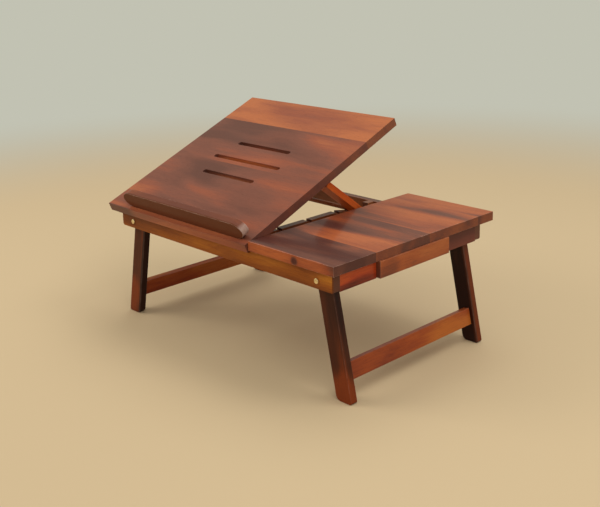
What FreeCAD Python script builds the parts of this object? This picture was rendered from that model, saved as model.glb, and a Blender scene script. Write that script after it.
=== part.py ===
import FreeCAD, Part
import math
import os

# Laptop stand: a tilting board and a fixed side panel on a rail frame, with a drawer and folding legs.
# Sizes are millimetres. While the pieces are made, X starts at the top's left edge, Y at its front
# edge and Z at the floor. save() then moves each piece to the stand's own origin, which is the
# middle of its outer box, at floor level.

Vector = FreeCAD.Vector
ALONG_X = Vector(1, 0, 0)
ALONG_Y = Vector(0, 1, 0)
ALONG_Z = Vector(0, 0, 1)
RIGHT = 1
LEFT = -1

# Top: the fixed panel on the right and the tilting board on the left
top_length = 600.0
top_depth = 408.0
top_height = 230.0
panel_thickness = 16.0
panel_length = 196.0
board_gap = 2.0
board_lift = 0.3
rest_tilt = 22.8
widest_tilt = 41.0

# Slots through the board, measured from its lower edge
slot_width = 9.5
slot_middle_x = 195.5
slot_first = 151.0
slot_pitch = 50.0
slot_lengths = (145.0, 187.0, 147.0)

# Ledge that stops a laptop from sliding down the board
ledge_left = 50.0
ledge_length = 344.0
ledge_height = 30.0
ledge_thickness = 15.0
ledge_setback = 9.5
ledge_end_reach = 26.0

# Rail frame under the top
rail_thickness = 14.0
rail_height = 30.0
rail_end_radius = 4.5
overhang_left = 29.0
overhang_right = 6.0
overhang_front = 6.0
overhang_back = 30.0
rack_inset = 63.0
dip_clearance_angle = 0.5

# Drawer, its opening in the right end rail and its runners
end_rail_length = 83.0
drawer_gap = 1.0
drawer_lift = 0.5
drawer_ajar = 8.0
drawer_box_inset = 4.0
drawer_arm_gap = 2.0
drawer_wall = 8.0
drawer_wall_height = 20.7
drawer_bottom_thickness = 4.0
runner_lip_height = 4.0
runner_wall_height = 14.0
runner_wall = 12.5
runner_lip = 6.5
runner_side_gap = 0.5
runner_slide_gap = 0.3

# Legs and their stretchers
leg_width = 32.0
leg_thickness = 14.0
leg_top_gap = 1.0
leg_spread = 40.0
foot_inner_radius = 10.0
foot_outer_radius = 4.0
stretcher_thickness = 12.0
stretcher_height = 30.0
stretcher_floor_gap = 32.0
stretcher_inset = 7.0
tenon_length = 8.0
tenon_shoulder = 2.0
stop_gap = 0.35
stop_width = 2.7
stop_height = 20.0

# Pivot bolts, washers and nuts
bolt_radius = 3.0
bolt_head_radius = 4.5
bolt_head_height = 2.4
bolt_seat_clearance = 0.05
leg_bore_clearance = 0.08
bolt_tail = 1.0
washer_radius = 8.0
washer_thickness = 0.8
nut_across_flats = 10.0
nut_height = 5.0

# Prop: two arms hinged under the board, with a dowel that rests on the rack rails
prop_pin_drop = 2.6
seat_sink = 0.75
arm_width = 34.0
arm_thickness = 11.4
arm_start = 3.0
arm_length = 128.0
arm_stow_gap = 2.2
arm_rack_gap = 2.0
arm_nut_gap = 2.2
foot_dowel_reach = 122.0
foot_dowel_radius = 4.0
foot_dowel_inset = 2.0

# Racks: notches in the left end rail and the rack rail
notch_pitch = 73.0
notch_count = 3
notch_depth = 4.5
notch_ramp = 9.0
seat_ramp = 27.4
seat_ramp_gap = 2.0
seat_clearance = 0.4
stow_end_gap = 2.0

# Butt hinges
knuckle_radius = 2.4
knuckle_clearance = 0.3
knuckle_gap = 0.2
hinge_pin_radius = 1.0
hinge_pin_clearance = 0.05
leaf_thickness = 1.2
leaf_length = 22.0
rail_leaf_margin = 0.5
leaf_proud = 0.6
board_hinge_width = 40.0
board_hinge_inset = 75.0
prop_hinge_width = 30.0

# Hidden fixings
rail_dowel_radius = 3.0
rail_dowel_depth = 8.0
rail_dowel_edge = 8.0
screw_radius = 2.0
screw_head_radius = 4.0
panel_screw_length = 41.0
panel_screw_inset = 26.0
ledge_screw_length = 38.0
ledge_screw_pitch = 80.0

# Places worked out from the sizes above
panel_left = top_length - panel_length
board_length = panel_left - board_gap
rail_top = top_height - panel_thickness
rail_bottom = rail_top - rail_height
board_under = rail_top + board_lift
frame_left = overhang_left
frame_right = top_length - overhang_right
left_inside = frame_left + rail_thickness
right_inside = frame_right - rail_thickness
front_inside = overhang_front + rail_thickness
back_outside = top_depth - overhang_back
back_inside = back_outside - rail_thickness
rack_left = panel_left - rack_inset
rack_right = rack_left + rail_thickness
opening_front = front_inside + end_rail_length
opening_rear = back_inside - end_rail_length
hinge_y = overhang_front + rail_thickness / 2
hinge_z = rail_top
pivot_z = rail_top - leg_top_gap - leg_width / 2
leg_splay = math.degrees(math.atan(leg_spread / pivot_z))
foot_slope = math.tan(math.radians(leg_splay))
foot_stretch = 1 / math.cos(math.radians(leg_splay))
leg_reach = leg_width / 2 * foot_stretch + (pivot_z - rail_bottom) * foot_slope
pivot_to_wall = leg_reach + stop_gap + stop_width
pivot_x = {RIGHT: right_inside - pivot_to_wall, LEFT: left_inside + pivot_to_wall}
front_leg_y = front_inside + washer_thickness
back_leg_y = back_inside - washer_thickness - leg_thickness
nut_corner = nut_across_flats / math.sqrt(3)
pin_y = back_leg_y - arm_stow_gap - arm_length
pin_z = board_under - prop_pin_drop
pin_rise = (pin_y - hinge_y) * math.sin(math.radians(rest_tilt))
pin_rise -= (hinge_z - pin_z) * math.cos(math.radians(rest_tilt))
dowel_radius_of_turn = math.hypot(foot_dowel_reach, arm_thickness / 2)
dowel_lead = math.degrees(math.atan2(arm_thickness / 2, foot_dowel_reach))
dowel_slope = math.degrees(math.asin((pin_rise + seat_sink) / dowel_radius_of_turn))
prop_fold = rest_tilt + dowel_slope - dowel_lead
right_arm_left = rack_right + arm_rack_gap
right_arm_right = right_arm_left + arm_width
left_arm_left = pivot_x[LEFT] + nut_corner + arm_nut_gap
foot_corner_loss = foot_outer_radius * (foot_slope + foot_stretch - 1)
foot_outer_x = pivot_x[RIGHT] + leg_width / 2 * foot_stretch + leg_spread - foot_corner_loss
drawer_box_front = opening_front + drawer_gap + drawer_box_inset
drawer_box_rear = opening_rear - drawer_gap - drawer_box_inset
drawer_floor_z = rail_bottom + runner_lip_height + runner_slide_gap
drawer_box_left = right_arm_right + drawer_arm_gap


def box(x_low, x_high, y_low, y_high, z_low, z_high):
    """A block between two corners."""
    corner = Vector(x_low, y_low, z_low)
    return Part.makeBox(x_high - x_low, y_high - y_low, z_high - z_low, corner)


def rod(x, y, z, direction, radius, length):
    """A round bar from a point along a direction."""
    return Part.makeCylinder(radius, length, Vector(x, y, z), direction)


def rounded(shape, radius, along, wanted):
    """Round the edges that run along a direction and whose middles are wanted."""
    edges = []
    for edge in shape.Edges:
        straight = edge.Curve.TypeId == "Part::GeomLine"
        if straight and abs(edge.Curve.Direction.dot(along)) > 0.999 and wanted(edge.CenterOfMass):
            edges.append(edge)
    return shape.makeFillet(radius, edges)


def turned(shape, y, z, angle):
    """A copy turned about a line along X."""
    copy = shape.copy()
    copy.rotate(Vector(0, y, z), ALONG_X, angle)
    return copy


def on_board(shape):
    """Tilt what belongs to the board from the closed place, where it is made, to the rest tilt."""
    return turned(shape, hinge_y, hinge_z, rest_tilt)


def on_prop(shape):
    """Unfold what belongs to the prop from under the closed board, then tilt it with the board."""
    return on_board(turned(shape, pin_y, pin_z, -prop_fold))


def foot_dowel_place(tilt):
    """Y and Z of the prop's dowel when the board stands at a tilt."""
    fold = prop_fold * tilt / rest_tilt
    middle = Part.Vertex(Vector(0, pin_y + foot_dowel_reach, pin_z - arm_thickness / 2))
    unfolded = turned(middle, pin_y, pin_z, -fold)
    point = turned(unfolded, hinge_y, hinge_z, tilt).Point
    return point.y, point.z


def lowest_front_y():
    """Y of the ledge's upper front edge, the foremost place on the stand."""
    edge = Part.Vertex(Vector(0, ledge_setback, top_height + ledge_height))
    return on_board(edge).Point.y


def screw(x, y, z, direction, length):
    """A countersunk wood screw whose flat head starts at a point."""
    shank = rod(x, y, z, direction, screw_radius, length)
    sink = screw_head_radius - screw_radius
    head = Part.makeCone(screw_head_radius, screw_radius, sink, Vector(x, y, z), direction)
    return shank.fuse(head).removeSplitter()


def ledge_screws():
    middle_x = ledge_left + ledge_length / 2
    middle_y = ledge_setback + ledge_thickness / 2
    places = [middle_x + step * ledge_screw_pitch for step in (-1, 0, 1)]
    screws = [screw(x, middle_y, board_under, ALONG_Z, ledge_screw_length) for x in places]
    return Part.makeCompound(screws)


def panel_screws():
    screws = []
    for x in (panel_left + panel_screw_inset, top_length - panel_screw_inset):
        for y in (hinge_y, back_outside - rail_thickness / 2):
            screws.append(screw(x, y, rail_bottom, ALONG_Z, panel_screw_length))
    return Part.makeCompound(screws)


def rail_dowels():
    """Pairs of dowels where the end rails and the rack rail butt against the long rails."""
    dowels = []
    for x in (frame_left, rack_left, right_inside):
        for y in (front_inside, back_inside):
            for z in (rail_bottom + rail_dowel_edge, rail_top - rail_dowel_edge):
                start = y - rail_dowel_depth
                middle = x + rail_thickness / 2
                dowels.append(rod(middle, start, z, ALONG_Y, rail_dowel_radius, 2 * rail_dowel_depth))
    return Part.makeCompound(dowels)


def knuckles(x_middle, width, y, z, outer):
    """The barrel of one hinge leaf: the two outer knuckles or the one between them."""
    third = width / 3
    if outer:
        spans = [(-width / 2, -third / 2), (third / 2, width / 2)]
    else:
        spans = [(-third / 2 + knuckle_gap, third / 2 - knuckle_gap)]
    bore = hinge_pin_radius + hinge_pin_clearance
    barrels = []
    for low, high in spans:
        barrel = rod(x_middle + low, y, z, ALONG_X, knuckle_radius, high - low)
        barrels.append(barrel.cut(rod(x_middle + low, y, z, ALONG_X, bore, high - low)))
    return spans, barrels


def hinge_leaf(x_middle, width, y, z, outer, side, z_low, z_high, length):
    """A leaf with its knuckles. The plate lies on one side of the pin, between two heights."""
    spans, barrels = knuckles(x_middle, width, y, z, outer)
    near = knuckle_radius + knuckle_clearance
    reach = sorted((y + side * near, y + side * length))
    leaf = box(x_middle - width / 2, x_middle + width / 2, reach[0], reach[1], z_low, z_high)
    bore = rod(x_middle - width, y, z, ALONG_X, hinge_pin_radius + hinge_pin_clearance, 2 * width)
    for low, high in spans:
        tab = sorted((y, y + side * near))
        strip = box(x_middle + low, x_middle + high, tab[0], tab[1], z_low, z_high)
        leaf = leaf.fuse(strip.cut(bore))
    return leaf.fuse(barrels).removeSplitter()


def board_hinge_places():
    return (board_hinge_inset, board_length - board_hinge_inset + board_gap)


def board_hinge_rail_leaves():
    length = rail_thickness / 2 - rail_leaf_margin
    low = rail_top - leaf_thickness
    leaves = []
    for x in board_hinge_places():
        leaves.append(hinge_leaf(x, board_hinge_width, hinge_y, hinge_z, True, 1, low, rail_top, length))
    return Part.makeCompound(leaves)


def board_hinge_board_leaves():
    high = board_under + leaf_thickness
    leaves = []
    for x in board_hinge_places():
        leaf = hinge_leaf(x, board_hinge_width, hinge_y, hinge_z, False, 1, board_under, high, leaf_length)
        leaves.append(leaf)
    return Part.makeCompound(leaves)


def hinge_pins(places, width, y, z):
    return Part.makeCompound([rod(x - width / 2, y, z, ALONG_X, hinge_pin_radius, width) for x in places])


def hinge_wells(places, width, y, z):
    """Round hollows that the hinges' knuckles turn in."""
    radius = knuckle_radius + knuckle_clearance
    extra = 2 * knuckle_clearance
    wells = [rod(x - width / 2 - extra / 2, y, z, ALONG_X, radius, width + extra) for x in places]
    return Part.makeCompound(wells)


def arm_lefts():
    return {RIGHT: right_arm_left, LEFT: left_arm_left}


def prop_hinge_places():
    return [left + arm_width / 2 for left in arm_lefts().values()]


def prop_hinge_board_leaves():
    low = board_under - leaf_proud
    high = board_under + leaf_thickness
    leaves = []
    for x in prop_hinge_places():
        leaves.append(hinge_leaf(x, prop_hinge_width, pin_y, pin_z, True, -1, low, high, leaf_length))
    return Part.makeCompound(leaves)


def prop_hinge_arm_leaves():
    low = pin_z - leaf_thickness
    leaves = []
    for x in prop_hinge_places():
        leaves.append(hinge_leaf(x, prop_hinge_width, pin_y, pin_z, False, 1, low, pin_z, leaf_length))
    return Part.makeCompound(leaves)


def slot(middle_y, length):
    """A round-ended slot through the board, along X."""
    radius = slot_width / 2
    low = board_under - 1
    depth = panel_thickness + 2
    straight = length - slot_width
    left = slot_middle_x - straight / 2
    cutter = box(left, left + straight, middle_y - radius, middle_y + radius, low, low + depth)
    for x in (left, left + straight):
        cutter = cutter.fuse(rod(x, middle_y, low, ALONG_Z, radius, depth))
    return cutter.removeSplitter()


def tilt_board():
    board = box(0, board_length, 0, top_depth, board_under, top_height)
    for number, length in enumerate(slot_lengths):
        board = board.cut(slot(slot_first + number * slot_pitch, length))
    board = board.cut(hinge_wells(board_hinge_places(), board_hinge_width, hinge_y, hinge_z))
    board = board.cut(board_hinge_board_leaves())
    board = board.cut(prop_hinge_board_leaves())
    return board.cut(ledge_screws())


def ledge_outline():
    """The ledge's long shape with half an ellipse at each end, on its front plane."""
    low_x = ledge_left + ledge_end_reach
    high_x = ledge_left + ledge_length - ledge_end_reach
    middle = top_height + ledge_height / 2
    edges = [Part.makeLine((low_x, ledge_setback, top_height), (high_x, ledge_setback, top_height))]
    for x, side in ((high_x, 1), (low_x, -1)):
        centre = Vector(x, ledge_setback, middle)
        tip = centre + Vector(side * ledge_end_reach, 0, 0)
        crown = centre + Vector(0, 0, side * ledge_height / 2)
        curve = Part.Ellipse(tip, crown, centre)
        edges.append(Part.ArcOfEllipse(curve, -math.pi / 2, math.pi / 2).toShape())
    top = top_height + ledge_height
    edges.append(Part.makeLine((high_x, ledge_setback, top), (low_x, ledge_setback, top)))
    return Part.Face(Part.Wire(Part.__sortEdges__(edges)))


def board_ledge():
    bar = ledge_outline().extrude(Vector(0, ledge_thickness, 0))
    return bar.cut(ledge_screws())


def side_panel():
    panel = box(panel_left, top_length, 0, top_depth, rail_top, top_height)
    return panel.cut(panel_screws())


def pivot_bolt(x, y_head, inward):
    """A bolt whose flat round head lies on a rail's outer face. It points along Y, inward."""
    direction = Vector(0, inward, 0)
    grip = rail_thickness + washer_thickness + leg_thickness + washer_thickness + nut_height + bolt_tail
    shank = rod(x, y_head, pivot_z, direction, bolt_radius, grip)
    head = rod(x, y_head, pivot_z, direction * -1, bolt_head_radius, bolt_head_height)
    return shank.fuse(head).removeSplitter()


def bolt_seats():
    """X, head Y and inward direction of the four pivot bolts."""
    seats = []
    for x in pivot_x.values():
        seats.append((x, overhang_front, 1))
        seats.append((x, back_outside, -1))
    return seats


def pivot_bolts():
    return Part.makeCompound([pivot_bolt(*seat) for seat in bolt_seats()])


def bolt_bores(clearance):
    radius = bolt_radius + clearance
    bores = [rod(x, -1, pivot_z, ALONG_Y, radius, top_depth + 2) for x in pivot_x.values()]
    return Part.makeCompound(bores)


def pivot_washers():
    """Washers on both sides of each leg: one against the rail, one under the nut."""
    washers = []
    for x, y_head, inward in bolt_seats():
        for distance in (rail_thickness, rail_thickness + washer_thickness + leg_thickness):
            start = y_head + inward * distance
            disc = rod(x, start, pivot_z, Vector(0, inward, 0), washer_radius, washer_thickness)
            washers.append(disc.cut(bolt_bores(bolt_seat_clearance)))
    return Part.makeCompound(washers)


def pivot_nuts():
    nuts = []
    for x, y_head, inward in bolt_seats():
        distance = rail_thickness + leg_thickness + 2 * washer_thickness
        start = y_head + inward * distance
        points = []
        for step in range(7):
            angle = math.radians(60 * step)
            across = nut_corner * math.cos(angle)
            points.append(Vector(x + across, start, pivot_z + nut_corner * math.sin(angle)))
        hexagon = Part.Face(Part.makePolygon(points))
        nut = hexagon.extrude(Vector(0, inward * nut_height, 0))
        nuts.append(nut.cut(bolt_bores(bolt_seat_clearance)))
    return Part.makeCompound(nuts)


def long_rail(y_low):
    """The front or back rail, with the corners of its ends rounded."""
    rail = box(frame_left, frame_right, y_low, y_low + rail_thickness, rail_bottom, rail_top)
    rail = rounded(rail, rail_end_radius, ALONG_Y, lambda middle: True)
    rail = rail.cut(bolt_bores(bolt_seat_clearance))
    rail = rail.cut(panel_screws())
    return rail.cut(rail_dowels())


def front_rail():
    """The front rail's top slopes down in front of the hinges, so that the board's edge can dip."""
    slope = math.tan(math.radians(widest_tilt + dip_clearance_angle))
    drop = (hinge_y - overhang_front) * slope
    corner = Vector(frame_left - 1, hinge_y, rail_top)
    front_high = Vector(frame_left - 1, overhang_front - 1, rail_top)
    front_low = Vector(frame_left - 1, overhang_front - 1, rail_top - drop - slope)
    wedge = Part.Face(Part.makePolygon([corner, front_high, front_low, corner]))
    wedge = wedge.extrude(Vector(board_length + board_gap / 2 - frame_left + 1, 0, 0))
    rail = long_rail(overhang_front).cut(wedge)
    rail = rail.cut(hinge_wells(board_hinge_places(), board_hinge_width, hinge_y, hinge_z))
    return rail.cut(board_hinge_rail_leaves())


def back_rail():
    return long_rail(back_inside)


def side_profile(points):
    """A cutter across the stand from its outline in Y and Z."""
    start = frame_left - 1
    outline = [Vector(start, y, z) for y, z in points]
    face = Part.Face(Part.makePolygon(outline + outline[:1]))
    return face.extrude(Vector(rack_right - start + 1, 0, 0))


def seat_front_y():
    """Y where the ramp down to the dowel's seat starts."""
    return foot_dowel_place(rest_tilt)[0] - seat_ramp


def rack_notches():
    cutters = []
    for number in range(notch_count):
        wall_y = seat_front_y() - seat_ramp_gap - number * notch_pitch
        points = [(wall_y, rail_top), (wall_y, rail_top - notch_depth), (wall_y - notch_ramp, rail_top)]
        cutters.append(side_profile(points))
    return Part.makeCompound(cutters)


def rack_seat():
    """The seat of the prop's dowel, and behind it the hollow where the dowel lies when folded."""
    below = foot_dowel_radius + seat_clearance
    seat_y, seat_z = foot_dowel_place(rest_tilt)
    stow_y, stow_z = foot_dowel_place(0)
    end_y = stow_y + foot_dowel_radius + stow_end_gap
    points = [(seat_front_y(), rail_top), (seat_y, seat_z - below), (stow_y, stow_z - below)]
    points += [(end_y, stow_z - below), (end_y, rail_top)]
    return side_profile(points)


def rack(x_low):
    """A rail along Y with the notches and the seat for the prop's dowel."""
    rail = box(x_low, x_low + rail_thickness, front_inside, back_inside, rail_bottom, rail_top)
    rail = rail.cut(rack_notches())
    rail = rail.cut(rack_seat())
    return rail.cut(rail_dowels())


def end_rail(y_low, y_high):
    """One part of the right end rail, beside the drawer's opening."""
    rail = box(right_inside, frame_right, y_low, y_high, rail_bottom, rail_top)
    return rail.cut(rail_dowels())


def drawer_runner(wall_outer, inward):
    """An L-shaped runner from the rack rail to the end rail: a wall and a lip under the drawer."""
    wall = sorted((wall_outer, wall_outer + inward * runner_wall))
    lip = sorted((wall_outer, wall_outer + inward * (runner_wall + runner_lip)))
    upright = box(rack_right, right_inside, wall[0], wall[1], rail_bottom, rail_bottom + runner_wall_height)
    shelf = box(rack_right, right_inside, lip[0], lip[1], rail_bottom, rail_bottom + runner_lip_height)
    return upright.fuse(shelf).removeSplitter()


def drawer_runner_front():
    return drawer_runner(drawer_box_front - runner_side_gap - runner_wall, 1)


def drawer_runner_rear():
    return drawer_runner(drawer_box_rear + runner_side_gap + runner_wall, -1)


def opened(shape):
    """Move a drawer piece from the closed place, where it is made, to the rest place, a little out."""
    return shape.translated(Vector(drawer_ajar, 0, 0))


def drawer_front():
    low = opening_front + drawer_gap
    high = opening_rear - drawer_gap
    face = box(right_inside, frame_right, low, high, rail_bottom + drawer_lift, rail_top - drawer_lift)
    return opened(face)


def drawer_side(y_low):
    top = drawer_floor_z + drawer_wall_height
    return opened(box(drawer_box_left, right_inside, y_low, y_low + drawer_wall, drawer_floor_z, top))


def drawer_back():
    low = drawer_box_front + drawer_wall
    high = drawer_box_rear - drawer_wall
    top = drawer_floor_z + drawer_wall_height
    right = drawer_box_left + drawer_wall
    return opened(box(drawer_box_left, right, low, high, drawer_floor_z, top))


def drawer_bottom():
    low = drawer_box_front + drawer_wall
    high = drawer_box_rear - drawer_wall
    left = drawer_box_left + drawer_wall
    top = drawer_floor_z + drawer_bottom_thickness
    return opened(box(left, right_inside, low, high, drawer_floor_z, top))


def splayed(shape, side):
    """Move a piece of a leg frame, made upright with its pivot at X and Z zero, to its splayed place."""
    placed = shape.copy()
    placed.rotate(Vector(0, 0, 0), ALONG_Y, -side * leg_splay)
    placed.translate(Vector(pivot_x[side], 0, pivot_z))
    return placed


def stretcher(side):
    """The bar that joins two legs, with a tenon at each end."""
    outer = side * (leg_width / 2 - stretcher_inset)
    x_low, x_high = sorted((outer, outer - side * stretcher_thickness))
    z_low = -(pivot_z - stretcher_floor_gap) / math.cos(math.radians(leg_splay))
    z_high = z_low + stretcher_height
    y_low = front_leg_y + leg_thickness
    y_high = back_leg_y
    bar = box(x_low, x_high, y_low, y_high, z_low, z_high)
    shoulder = tenon_shoulder
    tenons = box(x_low + shoulder, x_high - shoulder, y_low - tenon_length, y_high + tenon_length,
                 z_low + 2 * shoulder, z_high - 2 * shoulder)
    return splayed(bar.fuse(tenons).removeSplitter(), side)


def leg(side, y_low):
    """A leg: round at its pivot, cut level at the floor, with its foot's corners rounded."""
    half = leg_width / 2
    length = pivot_z / math.cos(math.radians(leg_splay)) + leg_width
    bar = box(-half, half, y_low, y_low + leg_thickness, -length, 0)
    bar = bar.fuse(rod(0, y_low, 0, ALONG_Y, half, leg_thickness)).removeSplitter()
    bar = splayed(bar, side)
    below = box(-top_length, 2 * top_length, -1, top_depth + 1, -2 * length, 0)
    bar = bar.cut(below)
    foot_x = pivot_x[side] + side * leg_spread
    bar = rounded(bar, foot_outer_radius, ALONG_Y, lambda p: p.z < 1 and side * (p.x - foot_x) > 0)
    bar = rounded(bar, foot_inner_radius, ALONG_Y, lambda p: p.z < 1 and side * (p.x - foot_x) < 0
                  and side * (p.x - foot_x) < -half + 1)
    return bar.cut(bolt_bores(leg_bore_clearance)).cut(stretcher(side))


def leg_stop_blocks():
    """Blocks on the end rails' inner faces that stop the legs from splaying further."""
    blocks = []
    for y in (front_leg_y, back_leg_y):
        for side, wall in ((RIGHT, right_inside), (LEFT, left_inside)):
            low, high = sorted((wall - side * stop_width, wall))
            blocks.append(box(low, high, y, y + leg_thickness, rail_bottom, rail_bottom + stop_height))
    return Part.makeCompound(blocks)


def prop_dowel():
    y = pin_y + foot_dowel_reach
    z = pin_z - arm_thickness / 2
    left = frame_left + foot_dowel_inset
    return rod(left, y, z, ALONG_X, foot_dowel_radius, right_arm_right - left)


def prop_arm(side):
    left = arm_lefts()[side]
    arm = box(left, left + arm_width, pin_y + arm_start, pin_y + arm_length, pin_z - arm_thickness, pin_z)
    return arm.cut(prop_dowel()).cut(prop_hinge_arm_leaves())


def pieces():
    """Every piece of the stand, by name, where it is at rest."""
    made = {
        "side_panel": side_panel(),
        "panel_screws": panel_screws(),
        "front_rail": front_rail(),
        "back_rail": back_rail(),
        "left_end_rail": rack(frame_left),
        "rack_rail": rack(rack_left),
        "end_rail_front": end_rail(front_inside, opening_front),
        "end_rail_rear": end_rail(opening_rear, back_inside),
        "rail_dowels": rail_dowels(),
        "drawer_runner_front": drawer_runner_front(),
        "drawer_runner_rear": drawer_runner_rear(),
        "leg_stop_blocks": leg_stop_blocks(),
        "pivot_bolts": pivot_bolts(),
        "pivot_washers": pivot_washers(),
        "pivot_nuts": pivot_nuts(),
        "board_hinge_rail_leaves": board_hinge_rail_leaves(),
        "board_hinge_pins": hinge_pins(board_hinge_places(), board_hinge_width, hinge_y, hinge_z),
        "tilt_board": on_board(tilt_board()),
        "board_hinge_board_leaves": on_board(board_hinge_board_leaves()),
        "board_ledge": on_board(board_ledge()),
        "ledge_screws": on_board(ledge_screws()),
        "prop_hinge_board_leaves": on_board(prop_hinge_board_leaves()),
        "prop_hinge_pins": on_board(hinge_pins(prop_hinge_places(), prop_hinge_width, pin_y, pin_z)),
        "prop_hinge_arm_leaves": on_prop(prop_hinge_arm_leaves()),
        "prop_arm_right": on_prop(prop_arm(RIGHT)),
        "prop_arm_left": on_prop(prop_arm(LEFT)),
        "prop_dowel": on_prop(prop_dowel()),
        "drawer_front": drawer_front(),
        "drawer_side_front": drawer_side(drawer_box_front),
        "drawer_side_rear": drawer_side(drawer_box_rear - drawer_wall),
        "drawer_back": drawer_back(),
        "drawer_bottom": drawer_bottom(),
    }
    for side, side_name in ((RIGHT, "right"), (LEFT, "left")):
        made["stretcher_" + side_name] = stretcher(side)
        made["leg_front_" + side_name] = leg(side, front_leg_y)
        made["leg_back_" + side_name] = leg(side, back_leg_y)
    return made


def save(name, shape):
    """Write one piece, moved to the stand's own origin."""
    middle = Vector(foot_outer_x / 2, (lowest_front_y() + top_depth) / 2, 0)
    shape.translated(middle * -1).exportStep("parts/" + name + ".step")


os.makedirs("parts", exist_ok=True)
for piece_name, piece_shape in pieces().items():
    save(piece_name, piece_shape)
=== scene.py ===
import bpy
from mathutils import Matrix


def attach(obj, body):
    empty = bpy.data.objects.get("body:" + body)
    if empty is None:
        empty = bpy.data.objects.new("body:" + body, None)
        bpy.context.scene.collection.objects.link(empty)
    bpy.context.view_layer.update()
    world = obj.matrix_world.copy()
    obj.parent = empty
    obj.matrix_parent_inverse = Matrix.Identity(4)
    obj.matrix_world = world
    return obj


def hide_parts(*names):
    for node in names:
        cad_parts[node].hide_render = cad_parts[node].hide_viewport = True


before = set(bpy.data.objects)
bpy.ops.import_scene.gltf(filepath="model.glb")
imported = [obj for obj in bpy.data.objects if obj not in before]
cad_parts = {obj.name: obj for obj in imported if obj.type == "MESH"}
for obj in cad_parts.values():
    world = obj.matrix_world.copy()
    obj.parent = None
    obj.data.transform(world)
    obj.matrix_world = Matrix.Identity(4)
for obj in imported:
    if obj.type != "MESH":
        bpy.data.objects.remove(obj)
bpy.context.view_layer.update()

import math

import bmesh
import bpy
from mathutils import Euler, Matrix, Vector

# ---------------------------------------------------------------------------------------------
# Room: a plain pale floor, an even pale surround, and four large soft lamps. The camera stands
# to the right of the stand's front, a little above its top. None of this belongs to the stand.
# ---------------------------------------------------------------------------------------------

camera_place = Vector((1.2594, -1.1826, 0.7073))
camera_right = Vector((0.69330, 0.72021, -0.02517))
camera_up = Vector((-0.15075, 0.17909, 0.97222))
camera_lens_mm = 58.07
camera_sensor_mm = 36.0
camera_drop = -0.1350
camera_reach = 60.0

camera_data = bpy.data.cameras.new("camera")
camera_data.sensor_width = camera_sensor_mm
camera_data.lens = camera_lens_mm
camera_data.shift_y = camera_drop
camera_data.clip_end = camera_reach
camera = bpy.data.objects.new("camera", camera_data)
bpy.context.scene.collection.objects.link(camera)
camera_back = camera_right.cross(camera_up)
camera_turn = Matrix((camera_right, camera_up, camera_back)).transposed().to_4x4()
camera.matrix_world = Matrix.Translation(camera_place) @ camera_turn
bpy.context.scene.camera = camera
bpy.context.scene.view_settings.view_transform = "Standard"

lamp_aim = Vector((0.0, 0.0, 0.15))


def soft_lamp(name, place, size, power, colour):
    """A large square lamp that faces the stand. Its size is in metres and its power in watts."""
    data = bpy.data.lights.new(name, "AREA")
    data.shape = "SQUARE"
    data.size = size
    data.energy = power
    data.color = colour
    lamp = bpy.data.objects.new(name, data)
    lamp.location = place
    lamp.rotation_euler = (lamp_aim - Vector(place)).to_track_quat("-Z", "Y").to_euler()
    bpy.context.scene.collection.objects.link(lamp)


soft_lamp("lamp_front_left", (-1.7, -1.5, 1.6), size=1.2, power=17.0, colour=(1.0, 0.94, 0.86))
soft_lamp("lamp_front_right", (1.9, -0.9, 1.5), size=1.2, power=10.0, colour=(1.0, 0.95, 0.88))
soft_lamp("lamp_right_above", (1.1, 0.5, 2.1), size=0.9, power=9.0, colour=(1.0, 0.97, 0.93))
soft_lamp("lamp_overhead", (-0.4, 0.9, 2.4), size=1.6, power=13.0, colour=(1.0, 0.98, 0.95))

lit_surround = (0.92, 0.90, 0.84, 1.0)
seen_surround = (0.54, 0.54, 0.45, 1.0)
lighting_strength = 0.62
world = bpy.data.worlds.new("pale_room")
world.use_nodes = True
bpy.context.scene.world = world
tree = world.node_tree
tree.nodes.clear()
path = tree.nodes.new("ShaderNodeLightPath")
seen = tree.nodes.new("ShaderNodeMath")
seen.operation = "ADD"
seen.use_clamp = True
tree.links.new(path.outputs["Is Camera Ray"], seen.inputs[0])
tree.links.new(path.outputs["Is Glossy Ray"], seen.inputs[1])
lighting = tree.nodes.new("ShaderNodeBackground")
lighting.inputs["Color"].default_value = lit_surround
lighting.inputs["Strength"].default_value = lighting_strength
showing = tree.nodes.new("ShaderNodeBackground")
showing.inputs["Color"].default_value = seen_surround
either = tree.nodes.new("ShaderNodeMixShader")
tree.links.new(seen.outputs[0], either.inputs[0])
tree.links.new(lighting.outputs[0], either.inputs[1])
tree.links.new(showing.outputs[0], either.inputs[2])
world_end = tree.nodes.new("ShaderNodeOutputWorld")
tree.links.new(either.outputs[0], world_end.inputs["Surface"])

floor_reach = 14.0
floor_colour = (0.64, 0.50, 0.31, 1.0)
floor_fade_start = 1.1
floor_fade_end = 2.6
floor_mesh = bmesh.new()
bmesh.ops.create_grid(floor_mesh, x_segments=1, y_segments=1, size=floor_reach)
floor_data = bpy.data.meshes.new("floor")
floor_mesh.to_mesh(floor_data)
floor_mesh.free()
floor = bpy.data.objects.new("floor", floor_data)
bpy.context.scene.collection.objects.link(floor)
floor_paint = bpy.data.materials.new("floor_paint")
floor_paint.use_nodes = True
floor_shader = floor_paint.node_tree.nodes["Principled BSDF"]
floor_shader.inputs["Base Color"].default_value = floor_colour
floor_shader.inputs["Roughness"].default_value = 0.9
floor_shader.inputs["Specular IOR Level"].default_value = 0.1
floor_tree = floor_paint.node_tree
floor_place = floor_tree.nodes.new("ShaderNodeTexCoord")
floor_distance = floor_tree.nodes.new("ShaderNodeVectorMath")
floor_distance.operation = "LENGTH"
floor_far = floor_tree.nodes.new("ShaderNodeMapRange")
floor_far.interpolation_type = "SMOOTHSTEP"
floor_far.inputs["From Min"].default_value = floor_fade_start
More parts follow.
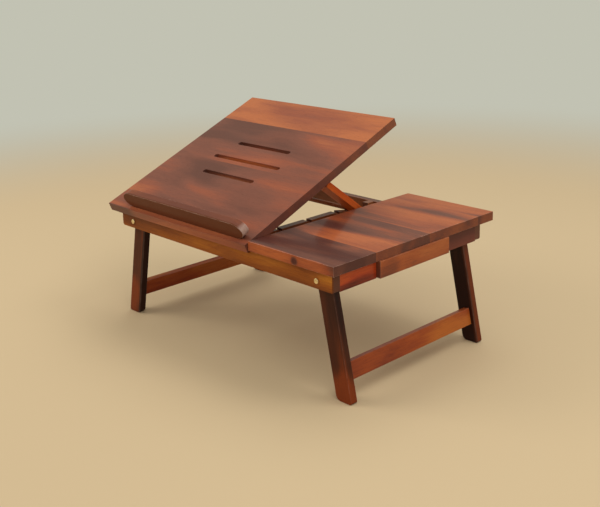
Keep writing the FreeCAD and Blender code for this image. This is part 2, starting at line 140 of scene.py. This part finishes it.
floor_far.inputs["From Max"].default_value = floor_fade_end
floor_path = floor_tree.nodes.new("ShaderNodeLightPath")
floor_seen = floor_tree.nodes.new("ShaderNodeMath")
floor_seen.operation = "MAXIMUM"
floor_share = floor_tree.nodes.new("ShaderNodeMath")
floor_share.operation = "MULTIPLY"
floor_glow = floor_tree.nodes.new("ShaderNodeEmission")
floor_glow.inputs["Color"].default_value = seen_surround
floor_mix = floor_tree.nodes.new("ShaderNodeMixShader")
floor_end = floor_tree.nodes["Material Output"]
floor_tree.links.new(floor_place.outputs["Object"], floor_distance.inputs[0])
floor_tree.links.new(floor_distance.outputs["Value"], floor_far.inputs["Value"])
floor_tree.links.new(floor_path.outputs["Is Camera Ray"], floor_seen.inputs[0])
floor_tree.links.new(floor_path.outputs["Is Glossy Ray"], floor_seen.inputs[1])
floor_tree.links.new(floor_far.outputs[0], floor_share.inputs[0])
floor_tree.links.new(floor_seen.outputs[0], floor_share.inputs[1])
floor_tree.links.new(floor_share.outputs[0], floor_mix.inputs[0])
floor_tree.links.new(floor_shader.outputs[0], floor_mix.inputs[1])
floor_tree.links.new(floor_glow.outputs[0], floor_mix.inputs[2])
floor_tree.links.new(floor_mix.outputs[0], floor_end.inputs["Surface"])
floor_data.materials.append(floor_paint)

# ---------------------------------------------------------------------------------------------
# Tilting board: one wide hardwood board, edge-glued from staves, with three vent slots. It is
# planed, its edges are eased by hand, and it has a high-gloss brown varnish.
# ---------------------------------------------------------------------------------------------


class Value:
    """A number that varies over a surface. Sums with it add Math nodes to its finish."""

    def __init__(self, finish, socket):
        self.finish = finish
        self.socket = socket

    def math(self, operation, first, second=0.0):
        return self.finish.node("ShaderNodeMath", {"operation": operation}, {0: first, 1: second})

    def __add__(self, other):
        return self.math("ADD", self, other)

    __radd__ = __add__

    def __sub__(self, other):
        return self.math("SUBTRACT", self, other)

    def __rsub__(self, other):
        return self.math("SUBTRACT", other, self)

    def __mul__(self, other):
        return self.math("MULTIPLY", self, other)

    __rmul__ = __mul__

    def __abs__(self):
        return self.math("ABSOLUTE", self)

    def step(self, low, high):
        """0 at low, 1 at high, and smooth between them."""
        settings = {"interpolation_type": "SMOOTHSTEP"}
        sockets = {"Value": self, "From Min": low, "From Max": high}
        return self.finish.node("ShaderNodeMapRange", settings, sockets)


class Finish:
    """A material whose nodes are added one at a time to the shader that it starts with."""

    def __init__(self, name):
        self.material = bpy.data.materials.new(name)
        self.material.use_nodes = True
        self.tree = self.material.node_tree
        self.shader = self.tree.nodes["Principled BSDF"]

    def plug(self, socket, value):
        if isinstance(value, Value):
            self.tree.links.new(value.socket, socket)
        else:
            socket.default_value = value

    def node(self, kind, settings, sockets, output=0):
        """Add a node: its settings first, then the values or links of its sockets."""
        made = self.tree.nodes.new(kind)
        for key, setting in settings.items():
            if key == "stops":
                ramp = made.color_ramp.elements
                while len(ramp) < len(setting):
                    ramp.new(0.5)
                for stop, (place, colour) in zip(ramp, setting):
                    stop.position = place
                    stop.color = (*colour, 1.0)
            else:
                setattr(made, key, setting)
        for key, value in sockets.items():
            self.plug(made.inputs[key], value)
        return Value(self, made.outputs[output])

    def shade(self, **sockets):
        """Set or link the shader's own sockets, with _ for a space in their names."""
        for key, value in sockets.items():
            self.plug(self.shader.inputs[key.replace("_", " ")], value)

    def mix(self, share, first, second):
        """A colour between two colours."""
        settings = {"data_type": "RGBA", "clamp_factor": True}
        colours = [(*c, 1.0) if isinstance(c, tuple) else c for c in (first, second)]
        sockets = {0: share, 6: colours[0], 7: colours[1]}
        return self.node("ShaderNodeMix", settings, sockets, output=2)

    def vector(self, operation, first, second, output=0):
        settings = {"operation": operation}
        return self.node("ShaderNodeVectorMath", settings, {0: first, 1: second}, output)

    def noise(self, vector, size, detail=3.0, roughness=0.55, distortion=0.0):
        """Noise whose scale along each axis is given in waves per metre."""
        sockets = {"Vector": self.vector("MULTIPLY", vector, size), "Scale": 1.0, "Detail": detail}
        sockets.update({"Roughness": roughness, "Distortion": distortion})
        return self.node("ShaderNodeTexNoise", {"noise_dimensions": "3D"}, sockets)

    def bump(self, height, strength, distance):
        sockets = {"Height": height, "Strength": strength, "Distance": distance}
        self.shade(Normal=self.node("ShaderNodeBump", {}, sockets))


pore_black = (0.020, 0.007, 0.005)
end_brown = (0.080, 0.034, 0.029)
# Pale tint for the eased edges: partly rubbed wear, partly a painted highlight along them.
worn_and_highlit_edge = (0.700, 0.480, 0.380)

# Waves per metre along, across and through the grain.
sway_waves = (5.0, 9.0, 9.0)
flame_waves = (2.8, 13.0, 13.0)
streak_waves = (9.0, 120.0, 120.0)
fibre_waves = (26.0, 900.0, 900.0)
pore_waves = (95.0, 2300.0, 2300.0)
end_ring_waves = (160.0, 160.0, 420.0)
scuff_waves = (70.0, 70.0, 70.0)
smear_waves = (14.0, 14.0, 14.0)

# How far the grain sways, how far one stave's figure lies from the next one's, and how much
# the streaks, the fibres and the growth rings move the figure between its tones.
sway_across = 0.03
sway_through = 0.02
stave_jump = (0.37, 0.11, 0.73)
streak_weight = 0.16
fibre_weight = 0.09
ring_weight = 0.007
ring_density = 150.0
fibre_darkness = 0.30
pore_darkness = 0.45
end_darkness = 0.35

# Varnish: its roughness, what dulls it, and how deep the grain shows through it.
varnish_roughness = 0.42
smear_dulls = 0.12
pore_dulls = 0.2
scuff_dulls = 0.15
smear_thickens = 0.3
scuff_thins = 0.2
grain_relief = 0.10
grain_depth = 0.0004


def hardwood(name, turn, shift, tones, levels=(0.36, 0.46, 0.54, 0.66), staves=None, lifts=None,
             patches=(), end_grain_and_sheen=end_brown, wear_and_highlight=0.06, shine=0.20, gloss=0.12):
    """Varnished hardwood whose grain runs along X once the piece is turned and shifted.

    tones run from heartwood to sapwood, and levels are where on the figure each one is pure.
    staves is the width of glued strips, and lifts makes whole strips paler, or darker below 0.
    A patch is a place on the piece in metres, its reach along, across and through the grain,
    and how much paler it is there. Some patches are the wood's own colour; others are painted
    light on lit faces or painted shade on faces in shade. The end tone is the colour of end grain,
    and on the ledge a painted reflection on its round ends. The wear setting is how far the eased
    edges are rubbed and painted pale as a highlight, shine is how thick the clear varnish lies,
    and gloss how rough it is.
    """
    wood = Finish(name)
    place = wood.node("ShaderNodeTexCoord", {}, {}, output=3)
    facing = wood.node("ShaderNodeTexCoord", {}, {}, output=1)
    angles = Euler([math.radians(angle) for angle in turn])
    lying = wood.node("ShaderNodeMapping", {}, {"Vector": place, "Rotation": angles})
    turned_facing = wood.node("ShaderNodeMapping", {}, {"Vector": facing, "Rotation": angles})
    along = wood.vector("ADD", lying, shift)
    level = 0.0
    if staves:
        across = wood.node("ShaderNodeSeparateXYZ", {}, {0: along}, output=1)
        row = across.math("FLOOR", across * (1 / staves) + 0.5)
        jumps = {axis: row * length for axis, length in enumerate(stave_jump)}
        jump = wood.node("ShaderNodeCombineXYZ", {}, jumps)
        along = wood.vector("ADD", along, jump)
        for number, lift in lifts.items():
            level = row.math("COMPARE", row, number) * lift + level
    for centre, reach, lift in patches:
        middle = Vector(centre)
        middle.rotate(angles)
        shrink = Vector([1 / length for length in reach])
        shrunk = wood.vector("MULTIPLY", lying, shrink)
        near = wood.vector("DISTANCE", shrunk, middle * shrink, output=1)
        level = near.step(1.0, 0.3) * lift + level
    sway = wood.noise(along, sway_waves, detail=2.0)
    bends = {0: 0.0, 1: sway * sway_across, 2: sway * sway_through}
    bend = wood.node("ShaderNodeCombineXYZ", {}, bends)
    grain = wood.vector("ADD", along, bend)
    flame = wood.noise(grain, flame_waves, detail=2.0, distortion=0.25)
    streak = wood.noise(grain, streak_waves, detail=5.0, roughness=0.62)
    fibre = wood.noise(grain, fibre_waves, detail=3.0, roughness=0.7)
    pore = wood.noise(grain, pore_waves, detail=1.0).step(0.66, 0.74)
    ring = flame.math("SINE", flame * ring_density)
    level = flame + level + (streak - 0.5) * streak_weight
    level = level + (fibre - 0.5) * fibre_weight + ring * ring_weight
    tone = wood.node("ShaderNodeValToRGB", {"stops": tuple(zip(levels, tones))}, {0: level})
    tone = wood.mix(fibre.step(0.50, 0.30) * fibre_darkness, tone, tones[0])
    tone = wood.mix(pore * pore_darkness, tone, pore_black)
    lengthwise = abs(wood.node("ShaderNodeSeparateXYZ", {}, {0: turned_facing}))
    end_grain = lengthwise.step(0.35, 0.75)
    rings = wood.noise(along, end_ring_waves, detail=4.0)
    # End grain tone; on the ledge this is a pale painted reflection on its round ends.
    tone = wood.mix(end_grain * (end_darkness + rings * 0.5), tone, end_grain_and_sheen)
    rub = wood.node("ShaderNodeAttribute", {"attribute_name": "rub"}, {}, output=2)
    scuff = wood.noise(place, scuff_waves, detail=4.0).step(0.42, 0.62)
    # Eased edges: rubbed wear and a painted highlight, both laid on as a pale tint.
    tone = wood.mix(rub * (0.5 + scuff) * wear_and_highlight, tone, worn_and_highlit_edge)
    smear = wood.noise(place, smear_waves, detail=4.0)
    dullness = varnish_roughness + smear * smear_dulls + pore * pore_dulls
    wood.shade(Base_Color=tone, Roughness=dullness + rub * scuff * scuff_dulls)
    wood.shade(Coat_Weight=shine + smear * smear_thickens - rub * scuff * scuff_thins)
    wood.shade(Coat_Roughness=gloss, Coat_IOR=1.5)
    wood.shade(Specular_IOR_Level=0.08)
    wood.bump(fibre * 0.4 + streak * 0.6 - pore * 0.7, grain_relief, grain_depth)
    return wood.material


same_point = 1e-6
flat_angle = math.radians(1.0)
sharp_angle = math.radians(24)
crease_angle = math.radians(32)
edge_segments = 3


def eased(node, radius, body, material):
    """A finished copy of a CAD piece with its sharp edges eased round. The new strips carry the
    edge mask that marks them as rubbed and painted pale as a highlight.
    """
    mesh = bmesh.new()
    mesh.from_mesh(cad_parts[node].data)
    bmesh.ops.remove_doubles(mesh, verts=mesh.verts, dist=same_point)
    bmesh.ops.dissolve_limit(mesh, angle_limit=flat_angle, verts=mesh.verts, edges=mesh.edges)
    rub = mesh.loops.layers.float.new("rub")
    closed = [edge for edge in mesh.edges if edge.is_manifold]
    sharp = [edge for edge in closed if edge.calc_face_angle() > sharp_angle]
    strips = bmesh.ops.bevel(mesh, geom=sharp, offset=radius, offset_type="OFFSET", affect="EDGES",
                             segments=edge_segments, profile=0.5, material=-1, clamp_overlap=True)
    for face in strips["faces"]:
        for corner in face.loops:
            corner[rub] = 1.0
    data = bpy.data.meshes.new(node + "_finished")
    mesh.to_mesh(data)
    mesh.free()
    data.shade_smooth()
    data.set_sharp_from_angle(angle=crease_angle)
    data.materials.append(material)
    piece = bpy.data.objects.new(data.name, data)
    bpy.context.scene.collection.objects.link(piece)
    even = piece.modifiers.new("even", "WEIGHTED_NORMAL")
    even.keep_sharp = True
    even.weight = 100
    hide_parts(node)
    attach(piece, body)


board_turn = (-22.8, 0, 0)
board_edge = 0.0011
board_stave = 0.136
board_tones = ((0.130, 0.044, 0.028), (0.215, 0.068, 0.040),
               (0.310, 0.080, 0.036), (0.480, 0.140, 0.045))
# Some patches are the wood's own figure; the marked ones are painted light and shade.
board_tone_and_light_patches = (
    # Painted light: the lower left of the board, lit orange.
    ((-0.300, -0.160, 0.242), (0.110, 0.120, 0.05), 0.15),
    ((-0.235, 0.030, 0.323), (0.130, 0.090, 0.05), -0.07),
    ((0.060, 0.000, 0.310), (0.090, 0.012, 0.05), 0.09),
    ((0.090, 0.100, 0.352), (0.060, 0.100, 0.05), 0.05),
    ((-0.194, 0.001, 0.310), (0.060, 0.008, 0.05), 0.08),
    ((0.075, 0.070, 0.340), (0.170, 0.065, 0.05), 0.09),
    ((0.000, -0.110, 0.264), (0.080, 0.060, 0.05), -0.06),
    # Painted light: the lit strip of the board in front of the ledge.
    ((-0.080, -0.1985, 0.2245), (0.420, 0.0110, 0.05), 0.17),
    # Painted shade: the front edge at the left corner, which lies in shade.
    ((-0.290, -0.2035, 0.2163), (0.080, 0.0040, 0.05), -0.60),
    # Painted light: the slot walls made paler, standing in for light inside the slots.
    ((-0.1112, -0.0168, 0.2942), (0.130, 0.090, 0.0078), 0.35),
)
board_wood = hardwood("board_wood", board_turn, (0.4, -0.016, 0.2), board_tones,
                      staves=board_stave, levels=(0.31, 0.47, 0.60, 0.80),
                      lifts={2: 0.19, 1: -0.02, -1: -0.01}, patches=board_tone_and_light_patches, wear_and_highlight=0.60)
eased("tilt_board", board_edge, "board", board_wood)

# ---------------------------------------------------------------------------------------------
# Ledge: a dark hardwood strip with long round ends, screwed along the board's lower edge. Its
# upper edge is painted pale, as wear and as a painted highlight. Its front face is darkened
# with painted shade, and its round ends are painted pale as a painted reflection.
# ---------------------------------------------------------------------------------------------

ledge_edge = 0.0009
# Painted shade: the ledge's front face, which faces down and forward, is made darker.
ledge_front_painted_shade = ((-0.085, -0.2023, 0.2415), (0.60, 0.0035, 0.10), -0.40)
ledge_tones = ((0.125, 0.034, 0.012), (0.150, 0.050, 0.032),
               (0.185, 0.058, 0.033), (0.360, 0.110, 0.042))
# The ledge's pale end tone is a painted reflection on its round ends.
ledge_wood = hardwood("ledge_wood", board_turn, (0.9, 0.31, 0.6), ledge_tones,
                      levels=(0.26, 0.44, 0.55, 0.74), patches=(ledge_front_painted_shade,),
                      end_grain_and_sheen=(0.50, 0.36, 0.31), wear_and_highlight=0.75, shine=-0.06)
eased("board_ledge", ledge_edge, "board", ledge_wood)

# ---------------------------------------------------------------------------------------------
# Side panel: the fixed level top at the right, glued from three staves. Screws from below hold
# it to the rails. Its grain is more strongly figured than the board's.
# ---------------------------------------------------------------------------------------------

panel_edge = 0.0011
panel_stave = 0.134
panel_tones = ((0.085, 0.022, 0.015), (0.165, 0.048, 0.026),
               (0.310, 0.070, 0.024), (0.450, 0.115, 0.032))
panel_patches = (
    ((0.300, -0.066, 0.222), (0.200, 0.030, 0.05), 0.14),
    ((0.190, -0.010, 0.222), (0.140, 0.040, 0.05), 0.06),
    ((0.200, 0.070, 0.222), (0.140, 0.040, 0.05), 0.07),
    ((0.200, 0.135, 0.222), (0.130, 0.030, 0.05), -0.09),
    ((0.240, 0.195, 0.222), (0.150, 0.040, 0.05), 0.12),
    ((0.150, -0.202, 0.222), (0.100, 0.008, 0.030), 0.22),
    ((0.250, -0.202, 0.222), (0.050, 0.008, 0.030), 0.16),
    ((0.207, -0.202, 0.221), (0.011, 0.009, 0.009), -0.24),
)
panel_wood = hardwood("panel_wood", (0, 0, 0), (1.7, 0.037, 0.1), panel_tones,
                      staves=panel_stave, levels=(0.34, 0.45, 0.53, 0.66),
                      lifts={-1: -0.11, 0: 0.0, 1: 0.03}, patches=panel_patches,
                      wear_and_highlight=0.60, shine=0.08)
eased("side_panel", panel_edge, "frame", panel_wood)

# ---------------------------------------------------------------------------------------------
# Rail frame: two long rails with rounded ends, and the end and rack rails doweled between them.
# Quarter-sawn golden stock in front, redder and darker stock at the ends.
# ---------------------------------------------------------------------------------------------

across_turn = (0, 0, -90)
rail_edge = 0.0010
small_edge = 0.0005
golden_tones = ((0.125, 0.030, 0.005), (0.195, 0.046, 0.005),
                (0.290, 0.078, 0.007), (0.470, 0.165, 0.014))
plain_tones = ((0.060, 0.018, 0.010), (0.115, 0.034, 0.014),
               (0.190, 0.052, 0.018), (0.300, 0.095, 0.030))
flame_tones = ((0.090, 0.012, 0.007), (0.205, 0.024, 0.009),
               (0.360, 0.046, 0.011), (0.500, 0.095, 0.016))
purple_tones = ((0.090, 0.022, 0.018), (0.125, 0.030, 0.022),
                (0.150, 0.036, 0.024), (0.280, 0.060, 0.025))

front_rail_patches = (((0.300, -0.200, 0.197), (0.090, 0.040, 0.040), 0.14),
                      ((0.180, -0.200, 0.212), (0.120, 0.020, 0.040), 0.06),
                      ((0.2880, -0.187, 0.199), (0.005, 0.030, 0.060), -0.60))
front_rail_wood = hardwood("front_rail_wood", (0, 0, 0), (0.2, 0.6, 0.3), golden_tones,
                           patches=front_rail_patches, shine=0.08)
back_rail_wood = hardwood("back_rail_wood", (0, 0, 0), (2.2, 0.1, 0.8), plain_tones,
                          patches=(((0.300, 0.190, 0.197), (0.030, 0.040, 0.060), 0.16),))
eased("front_rail", rail_edge, "frame", front_rail_wood)
eased("back_rail", rail_edge, "frame", back_rail_wood)
cross_rails = {
    "left_end_rail": ((0.3, 1.1, 0.2), plain_tones),
    "rack_rail": ((1.3, 0.2, 0.5), plain_tones),
    "end_rail_front": ((0.1, 0.5, 1.9), flame_tones),
    "end_rail_rear": ((0.8, 1.4, 0.1), purple_tones),
}
low_shade = (((0.287, -0.135, 0.184), (0.070, 0.030, 0.018), -0.16),)
for node, (shift, tones) in cross_rails.items():
    wood = hardwood(node + "_wood", across_turn, shift, tones, patches=low_shade)
    eased(node, rail_edge, "frame", wood)
for node in ("drawer_runner_front", "drawer_runner_rear", "leg_stop_blocks"):
    wood = hardwood(node + "_wood", across_turn, (0.6, 0.9, 1.2), plain_tones)
    eased(node, small_edge, "frame", wood)
dowel_wood = hardwood("dowel_wood", across_turn, (0.1, 0.2, 0.1), plain_tones)
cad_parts["rail_dowels"].material_slots[0].material = dowel_wood

# ---------------------------------------------------------------------------------------------
# Drawer: a plain box with an orange-brown front and no knob. It runs on two L-shaped runners
# under the side panel, and its bottom and sides are of thinner boards than its front.
# ---------------------------------------------------------------------------------------------

drawer_front_edge = 0.0012
drawer_box_edge = 0.0006
drawer_tones = ((0.085, 0.028, 0.019), (0.215, 0.052, 0.021),
                (0.330, 0.080, 0.024), (0.430, 0.130, 0.038))
drawer_wood = hardwood("drawer_front_wood", across_turn, (0.45, 0.8, 0.3), drawer_tones,
                       patches=(((0.293, -0.074, 0.196), (0.036, 0.040, 0.040), -0.11),
                                ((0.295, 0.040, 0.200), (0.070, 0.040, 0.030), 0.08)))
eased("drawer_front", drawer_front_edge, "drawer", drawer_wood)
drawer_boards = {
    "drawer_side_front": (0, 0, 0),
    "drawer_side_rear": (0, 0, 0),
    "drawer_back": across_turn,
    "drawer_bottom": (0, 0, 0),
}
for node, turn in drawer_boards.items():
    wood = hardwood(node + "_wood", turn, (0.7, 0.2, 1.4), drawer_tones, gloss=0.25)
    eased(node, drawer_box_edge, "drawer", wood)

# ---------------------------------------------------------------------------------------------
# Legs: four splayed legs with rounded feet, joined in pairs by tenoned stretchers. Dark heartwood
# legs, with an orange-brown stretcher on the right and a dark red one on the left.
# ---------------------------------------------------------------------------------------------

leg_splay_degrees = 11.48
leg_edge = 0.0014
leg_tones = ((0.022, 0.006, 0.004), (0.052, 0.013, 0.006),
             (0.088, 0.020, 0.007), (0.200, 0.036, 0.008))
# Feet are paler sapwood; the marked patches are painted light and shade on leg faces.
leg_tone_and_light_patches = {
    "leg_front_right": (((0.290, -0.180, 0.010), (0.055, 0.050, 0.050), 0.20),
                        # Painted light: the lit front face of the front right leg.
                        ((0.271, -0.1792, 0.098), (0.300, 0.006, 0.060), 0.13),
                        # Painted shade: the outer face of the front right leg, made darker.
                        ((0.287, -0.172, 0.102), (0.300, 0.050, 0.006), -0.06)),
    "leg_front_left": (((-0.284, -0.180, 0.040), (0.050, 0.012, 0.050), 0.10),
                       # Painted shade: the inner face of the front left leg.
                       ((-0.246, -0.172, 0.095), (0.300, 0.050, 0.006), -0.30)),
    # Painted shade: the front face of the back right leg, in the shade of the top.
    "leg_back_right": (((0.271, 0.1492, 0.098), (0.300, 0.004, 0.060), -0.12),
                       # Painted light: the lit outer face of the back right leg.
                       ((0.287, 0.156, 0.102), (0.300, 0.050, 0.008), 0.16)),
    "leg_back_left": (((-0.280, 0.190, 0.020), (0.060, 0.050, 0.050), 0.10),),
}
for side, turn_about_y in (("right", 90 + leg_splay_degrees), ("left", 90 - leg_splay_degrees)):
    for number, place in enumerate(("front", "back")):
        node = "leg_" + place + "_" + side
        shift = (0.4 + number, 0.7 - number, 0.9 + turn_about_y / 90)
        wood = hardwood(node + "_wood", (0, turn_about_y, 0), shift, leg_tones,
                        levels=(0.30, 0.40, 0.49, 0.62), patches=leg_tone_and_light_patches[node], shine=0.0)
        eased(node, leg_edge, side + "_legs", wood)
red_tones = ((0.110, 0.016, 0.006), (0.210, 0.034, 0.010),
             (0.290, 0.060, 0.013), (0.440, 0.150, 0.030))
orange_tones = ((0.110, 0.022, 0.013), (0.210, 0.040, 0.016),
                (0.310, 0.062, 0.016), (0.430, 0.120, 0.022))
stretcher_right_wood = hardwood("stretcher_right_wood", across_turn, (0.5, 0.3, 1.1), orange_tones,
                                patches=(((0.280, 0.130, 0.046), (0.130, 0.060, 0.060), 0.14),
                                         ((0.280, -0.120, 0.046), (0.170, 0.060, 0.060), -0.13)),
                                shine=0.05)
stretcher_left_wood = hardwood("stretcher_left_wood", across_turn, (0.9, 0.6, 0.4), red_tones,
                               levels=(0.34, 0.46, 0.54, 0.68), shine=0.0)
eased("stretcher_right", leg_edge, "right_legs", stretcher_right_wood)
eased("stretcher_left", leg_edge, "left_legs", stretcher_left_wood)

# ---------------------------------------------------------------------------------------------
# Prop: two flat arms hinged under the board, on one round dowel that drops into the racks. The
# arms are of bright red-brown stock, and their grain runs down the slope.
# ---------------------------------------------------------------------------------------------

arm_turn = (37.3, 0, -90)
arm_edge = 0.0010
prop_dowel_edge = 0.0008
arm_tones = ((0.150, 0.018, 0.008), (0.300, 0.036, 0.010),
             (0.480, 0.068, 0.014), (0.600, 0.120, 0.020))
for side in ("right", "left"):
    node = "prop_arm_" + side
    wood = hardwood(node + "_wood", arm_turn, (0.9, 0.4, 0.7), arm_tones,
                    levels=(0.28, 0.40, 0.48, 0.60), shine=-0.12)
    eased(node, arm_edge, "prop", wood)
prop_dowel_wood = hardwood("prop_dowel_wood", (0, 0, 0), (0.2, 0.9, 0.4), plain_tones)
eased("prop_dowel", prop_dowel_edge, "prop", prop_dowel_wood)

# ---------------------------------------------------------------------------------------------
# Hinges and pivot bolts: polished brass that has dulled a little, and plain steel screws and pins.
# The bolt heads and nuts have their edges rolled over. The hinge leaves are thin and flat.
# ---------------------------------------------------------------------------------------------

bolt_edge = 0.0009
nut_edge = 0.0004
washer_edge = 0.0002
tarnish_waves = (260.0, 260.0, 260.0)
scratch_waves = (300.0, 4200.0, 900.0)

def metal(name, bright, dull, roughness):
    """Worn metal: dull in patches and along fine scratches."""
    worn = Finish(name)
    place = worn.node("ShaderNodeTexCoord", {}, {}, output=3)
    patch = worn.noise(place, tarnish_waves, detail=4.0).step(0.38, 0.68)
    scratch = worn.noise(place, scratch_waves, detail=2.0).step(0.55, 0.70)
    worn.shade(Base_Color=worn.mix(patch * 0.7, bright, dull), Metallic=1.0)
    worn.shade(Roughness=roughness + patch * 0.18 + scratch * 0.12)
    worn.bump(scratch * -1.0 + patch * 0.3, 0.12, 0.0001)
    return worn.material


brass = metal("dulled_brass", (0.90, 0.76, 0.46), (0.56, 0.42, 0.20), 0.20)
steel = metal("plain_steel", (0.62, 0.61, 0.59), (0.36, 0.34, 0.32), 0.28)
eased("pivot_bolts", bolt_edge, "frame", brass)
eased("pivot_nuts", nut_edge, "frame", brass)
eased("pivot_washers", washer_edge, "frame", brass)
brass_nodes = ("board_hinge_rail_leaves", "board_hinge_board_leaves", "prop_hinge_board_leaves",
               "prop_hinge_arm_leaves")
for node in brass_nodes:
    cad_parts[node].material_slots[0].material = brass
for node in ("panel_screws", "ledge_screws", "board_hinge_pins", "prop_hinge_pins"):
    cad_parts[node].material_slots[0].material = steel
